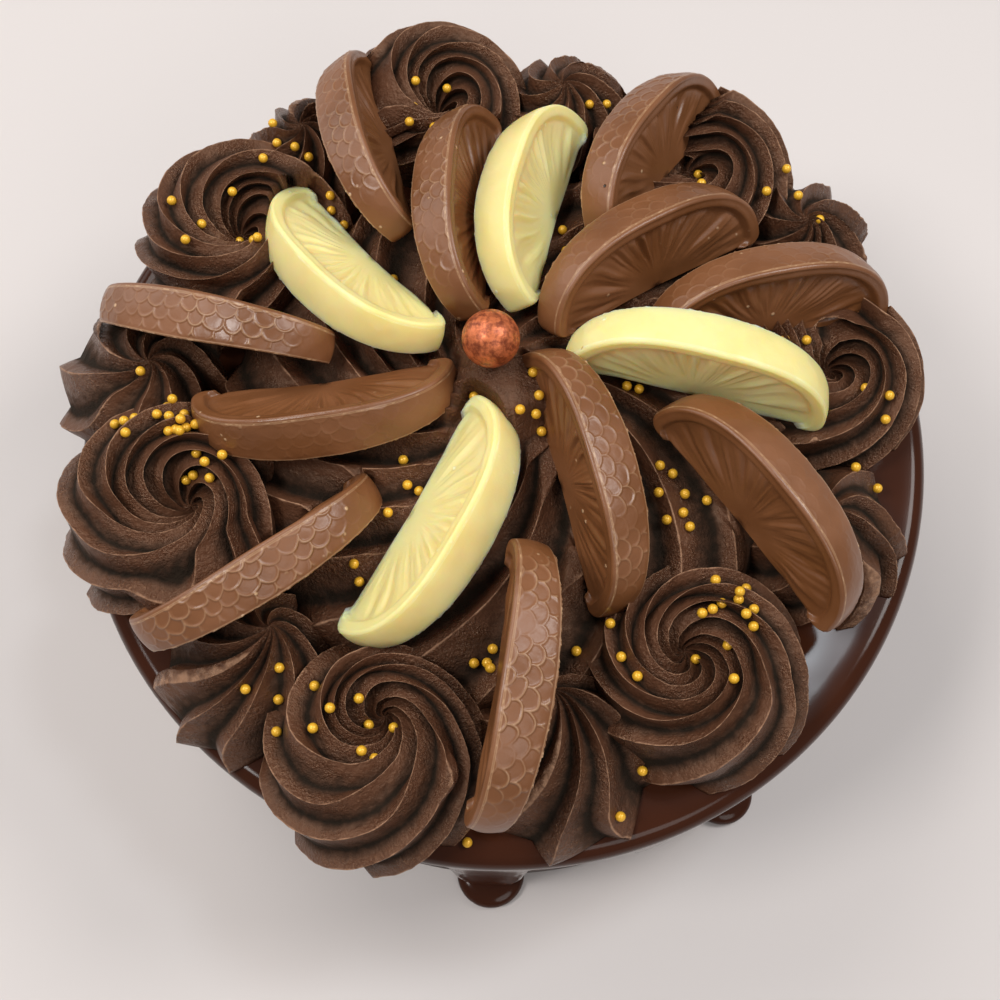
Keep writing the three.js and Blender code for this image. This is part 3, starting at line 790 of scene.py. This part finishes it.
def pipedShape(form, radius, height, pull, seed, tailStart):
    # The profile goes round the middle with blades that wind in counter-clockwise. Blades are of uneven
    # width and worn, the outline swells slowly to a tail and steps back there, and pull moves the middle
    # towards -X.
    across, up, share, turn = smoothCurve(form["profile"], form["rows"]).T[:, :, None]
    ridges = form["ridges"]
    section = ridgeAngles(ridges, form["perRidge"])[None, :]
    depth, mark = bladeShare(section, ridges, form["groove"])
    row = np.linspace(0, 1, form["rows"])[:, None]
    blade = section * ridges / fullTurn + 0 * row

    # Where each point stands round the middle, and the outline there
    uneven = piping["unevenWidth"] * softNoise(blade * 0.5, row * 3, seed, ridges // 2) / ridges * fullTurn
    angle = section + uneven * smoothStep(across * 4) + np.radians(turn)
    around = ((angle - math.radians(tailStart)) / fullTurn) % 1
    stepBack = smoothStep((around - 1 + piping["tailStep"]) / piping["tailStep"])
    tail = (around - stepBack - 0.45) * smoothStep(across * 2.5 - 0.5)
    wander = softNoise(around * 6, 0 * around + seed, seed + 1, 6)
    outline = radius * (1 + piping["tail"] * tail + piping["wander"] * wander)

    # The blades stand off the profile along its normal
    worn = piping["worn"] * softNoise(blade * 2, row * 26, seed + 2, 2 * ridges)
    ragged = piping["ragged"] * mark ** 3 * softNoise(blade * 2, row * 90, seed + 3, 2 * ridges)
    strength = 1 + piping["unevenDepth"] * softNoise(np.floor(blade) + 0.5, row * 4, seed + 4, ridges)
    lift = share * (form["depth"] * (0.5 - depth * strength) + worn + ragged)
    alongR, alongZ = np.gradient(across, axis=0) * radius, np.gradient(up, axis=0) * height
    length = np.hypot(alongR, alongZ)
    reach = across * outline - alongZ / length * lift + form["flare"] * (0.5 - depth) * row ** 6
    rise = up * height * (1 + piping["tailRise"] * tail) + alongR / length * lift
    rise = np.maximum(np.where(row < 1, rise, 0), 0)
    grid = np.stack([reach * np.cos(angle) - pull * (1 - across), reach * np.sin(angle), rise], axis=-1)
    points, faceSets = closedRows(grid[1:], grid[0].mean(axis=0), (0, 0, 0))
    # Mark for the painted shade and highlight, easing to the plain mark where the ridges fade
    plain = piping["plainMark"]
    tone = plain + (mark - plain) * np.clip(share * 1.4, 0, 1)
    return points, faceSets, np.append(tone[1:].ravel(), (plain, plain))


def addPiped(name, node, form, radius, height, azimuth, ring, pull, seed, tailStart):
    # The shape stands on the glaze, turned to its azimuth, and gives way to the segments
    points, faceSets, mark = pipedShape(form, radius, height, pull, seed, tailStart - azimuth)
    points = (points + (ring, 0, onTop)) @ turnMatrix("z", azimuth).T
    addPiece(name, pressUnder(points), faceSets, buttercream, [node], mark)


for index, (azimuth, ring, radius, pull, tailStart) in enumerate(rosettes):
    addPiped(f"rosette{index + 1}", f"rosette_{index + 1}", rosette, radius, radius * rosette["slimness"],
             azimuth, ring, pull, rosette["seed"] + seedStep * index, tailStart)
for index, (azimuth, ring, foot, pull) in enumerate(drops):
    addPiped(f"starDrop{index + 1}", f"star_drop_{index + 1}", drop, foot, drop["height"],
             azimuth, ring, pull, drop["seed"] + seedStep * index, azimuth + drop["tailTurn"])
addPiped("centreSwirl", "centre_mound", mound, mound["radius"], mound["height"],
         0, 0, 0, mound["seed"], mound["tailStart"])
print("buttercream piped")


# Ball and beads

ball = {"place": (-3, 7, 134.7), "radius": 6.7, "rows": 40, "columns": 64}
bead = {"radius": 1.2, "sunk": 0.22, "rows": 9, "columns": 16, "dropFrom": 200}
# Draws of the scatters: first draw, factor from draw to draw, where it wraps, and the turn from bead to bead
draws = {"first": 2024, "factor": 16807, "wrap": 2147483647, "golden": 2.4}
# Scatters of gold beads: middle, spread and how many
beadScatters = [
    (-91, -7, 5, 4), (-80, -2, 4, 5), (-76, -9, 4, 7), (-71, -18, 5, 6), (-70, 46, 13, 7), (-57, 72, 8, 5),
    (-46, 55, 7, 5), (-30, 41, 12, 7), (-19, 83, 12, 7), (25, 87, 3, 2), (14, 39, 10, 7), (48, 65, 7, 3),
    (72, 55, 11, 4), (73, 15, 5, 3), (90, 1, 6, 3), (89, -18, 6, 2), (40, -24, 9, 8), (52, -51, 7, 9),
    (48, -61, 9, 4), (31, 1, 3, 2), (1, 4, 9, 6), (6, -8, 5, 4), (-25, -22, 8, 5), (-36, -41, 5, 4),
    (-55, -71, 11, 4), (-34, -77, 11, 8), (-5, -63, 4, 4), (22, -64, 10, 4), (-9, -102, 1, 1),
    (25, -97, 1, 1), (31, -86, 1, 1), (-52, 7, 8, 3), (-21, 10, 8, 2), (-89, 8, 1, 1),
]
beadCarriers = ("rosette", "starDrop", "centre", "ganache")


def sphereShape(radius, rows, columns):
    # Rows from near the top pole to near the bottom pole
    down = np.linspace(0, math.pi, rows + 2)[1:-1, None]
    around = np.linspace(0, fullTurn, columns, endpoint=False)[None, :]
    grid = radius * np.stack([
        np.sin(down) * np.cos(around), np.sin(down) * np.sin(around), np.cos(down) + 0 * around,
    ], axis=-1)
    return closedRows(grid, (0, 0, radius), (0, 0, -radius))


def beadPlaces():
    # Each scatter is a loose sunflower pattern, with the same draws for the same first draw
    state = draws["first"]
    for x, y, spread, count in beadScatters:
        for k in range(count):
            state = state * draws["factor"] % draws["wrap"]
            angle = draws["golden"] * k + 1.2 * state / draws["wrap"]
            state = state * draws["factor"] % draws["wrap"]
            reach = spread * math.sqrt((k + 0.5) / count) * (0.75 + 0.4 * state / draws["wrap"])
            yield x + reach * math.cos(angle), y + reach * math.sin(angle)


def addBeads():
    # A bead falls on the first piece below it, and stays if that is cream or glaze
    depsgraph = bpy.context.evaluated_depsgraph_get()
    surfaces = {name: BVHTree.FromObject(piece, depsgraph) for name, piece in pieces.items()}
    middles = []
    for x, y in beadPlaces():
        hits = []
        start = Vector((x * mm, y * mm, bead["dropFrom"] * mm))
        for name, surface in surfaces.items():
            place, normal, _, _ = surface.ray_cast(start, Vector((0, 0, -1)))
            if place is not None:
                hits.append((place.z, name, place, normal))
        if hits:
            _, name, place, normal = max(hits, key=lambda hit: hit[0])
            if name.startswith(beadCarriers):
                middles.append(place / mm + normal * bead["radius"] * (1 - bead["sunk"]))
    points, faceSets = sphereShape(bead["radius"], bead["rows"], bead["columns"])
    middles = np.array(middles)
    allPoints = (points[None, :, :] + middles[:, None, :]).reshape(-1, 3)
    offsets = np.arange(len(middles)) * len(points)
    allFaces = [(faces[None] + offsets[:, None, None]).reshape(-1, faces.shape[1]) for faces in faceSets]
    addPiece("goldBeads", allPoints, allFaces, goldSugar, [])
    print(len(middles), "beads placed")


points, faceSets = sphereShape(ball["radius"], ball["rows"], ball["columns"])
addPiece("bronzeBall", points + ball["place"], faceSets, bronze, ["bronze_ball"])
addBeads()


# Stage, lights and camera, in metres

floorReach = 6
aim = (0, 0, 0.1)
lowAim = (0, 0, 0.05)
# Each lamp: name, place, what it looks at, width, power in watts and colour
lamps = [
    ("ceiling", (-0.42, 0.5, 1.05), aim, 0.5, 4.2, (1.0, 0.97, 0.93)),
    ("left", (-1.1, 0.55, 0.55), aim, 0.9, 3.6, (1.0, 0.98, 0.96)),
    ("overLeft", (-0.52, -0.15, 1.0), aim, 0.3, 4.4, (1.0, 0.98, 0.96)),
    ("right", (0.7, 0.18, 1.0), aim, 0.4, 5.6, (1.0, 0.98, 0.96)),
    ("front", (0.4, -0.75, 1.0), lowAim, 0.5, 2.4, (1.0, 0.97, 0.94)),
    ("window", (0.29, 0.16, 1.1), aim, 0.14, 1.6, (0.84, 0.93, 1.0)),
]
studio = {"tone": (0.95, 0.96, 1.0, 1.0), "strength": 0.24}
# The view of the photo: close above the front edge, looking down
view = {"place": (-0.00092, -0.12119, 0.4056), "tilt": 18.27, "lens": 46.94, "sensor": 36}

floorMesh = bpy.data.meshes.new("floor")
corners = [(x * floorReach, y * floorReach, 0) for x, y in ((-1, -1), (1, -1), (1, 1), (-1, 1))]
floorMesh.from_pydata(corners, [], [(0, 1, 2, 3)])
floorMaterial, _, _ = newMaterial("floor", Base_Color=srgb(209, 202, 199), Roughness=0.9)
floorMesh.materials.append(floorMaterial)
floor = bpy.data.objects.new("floor", floorMesh)
bpy.context.scene.collection.objects.link(floor)

for name, place, target, width, power, colour in lamps:
    light = bpy.data.lights.new(name, "AREA")
    light.shape = "DISK"
    light.size = width
    light.energy = power
    light.color = colour
    lamp = bpy.data.objects.new(name, light)
    lamp.location = place
    lamp.rotation_euler = (Vector(target) - Vector(place)).to_track_quat("-Z", "Y").to_euler()
    bpy.context.scene.collection.objects.link(lamp)

world = bpy.data.worlds.new("studio")
world.use_nodes = True
background = world.node_tree.nodes["Background"]
background.inputs["Color"].default_value = studio["tone"]
background.inputs["Strength"].default_value = studio["strength"]
bpy.context.scene.world = world

cameraData = bpy.data.cameras.new("camera")
cameraData.sensor_width = view["sensor"]
cameraData.lens = view["lens"]
camera = bpy.data.objects.new("camera", cameraData)
camera.location = view["place"]
camera.rotation_euler = (math.radians(view["tilt"]), 0, 0)
bpy.context.scene.collection.objects.link(camera)
bpy.context.scene.camera = camera
bpy.context.scene.view_settings.view_transform = "Standard"
print("stage lit")
